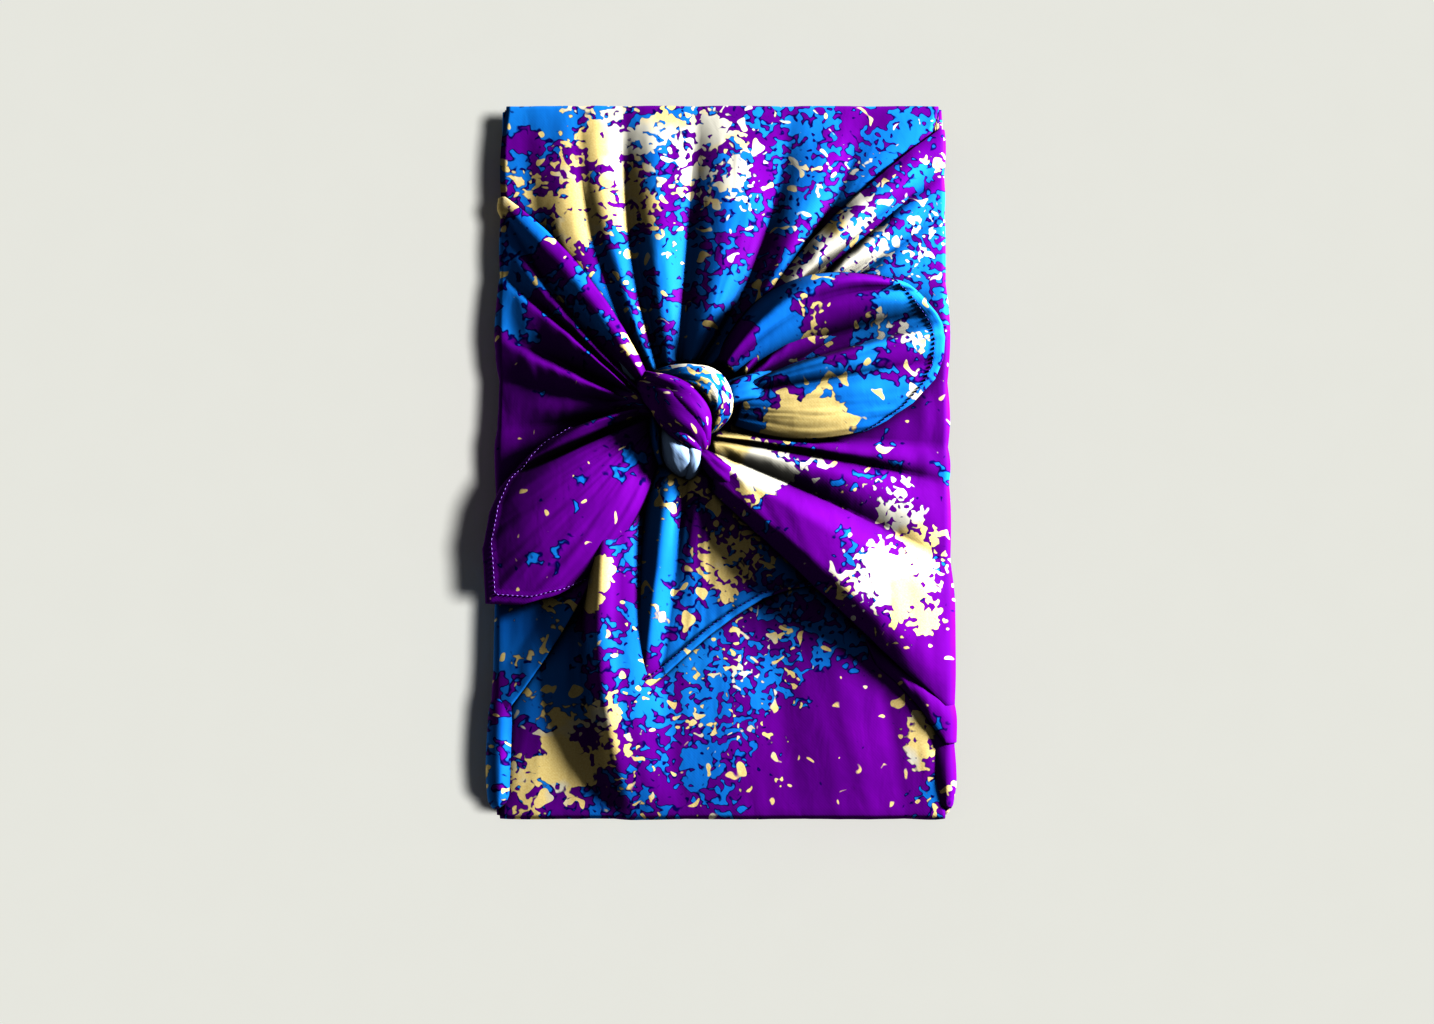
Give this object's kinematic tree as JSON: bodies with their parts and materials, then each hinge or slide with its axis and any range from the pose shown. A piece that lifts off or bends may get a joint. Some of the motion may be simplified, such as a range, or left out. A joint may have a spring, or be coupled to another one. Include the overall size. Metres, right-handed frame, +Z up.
{
  "type": "fabric gift wrap and box",
  "caption": "Flat rectangular parcel in a printed cotton cloth whose corners are gathered and tied on top in a knot with leaf-shaped tails.",
  "frame": {"origin": "centre of the parcel's underside", "axes": "+Z up through the knot, +Y along the parcel's long side, away from the end with the cloth's free corner"},
  "size_m": [0.2795, 0.4291, 0.0598],
  "materials": {
    "printed_cotton": "cotton sateen with a splatter print in purple, blue, gold and off-white, pale blue-grey on the reverse",
    "carton_board": "plain grey carton board"
  },
  "bodies": {
    "root": {"wrap_cloth": "printed_cotton", "gift_box": "carton_board"}
  },
  "joints": []
}
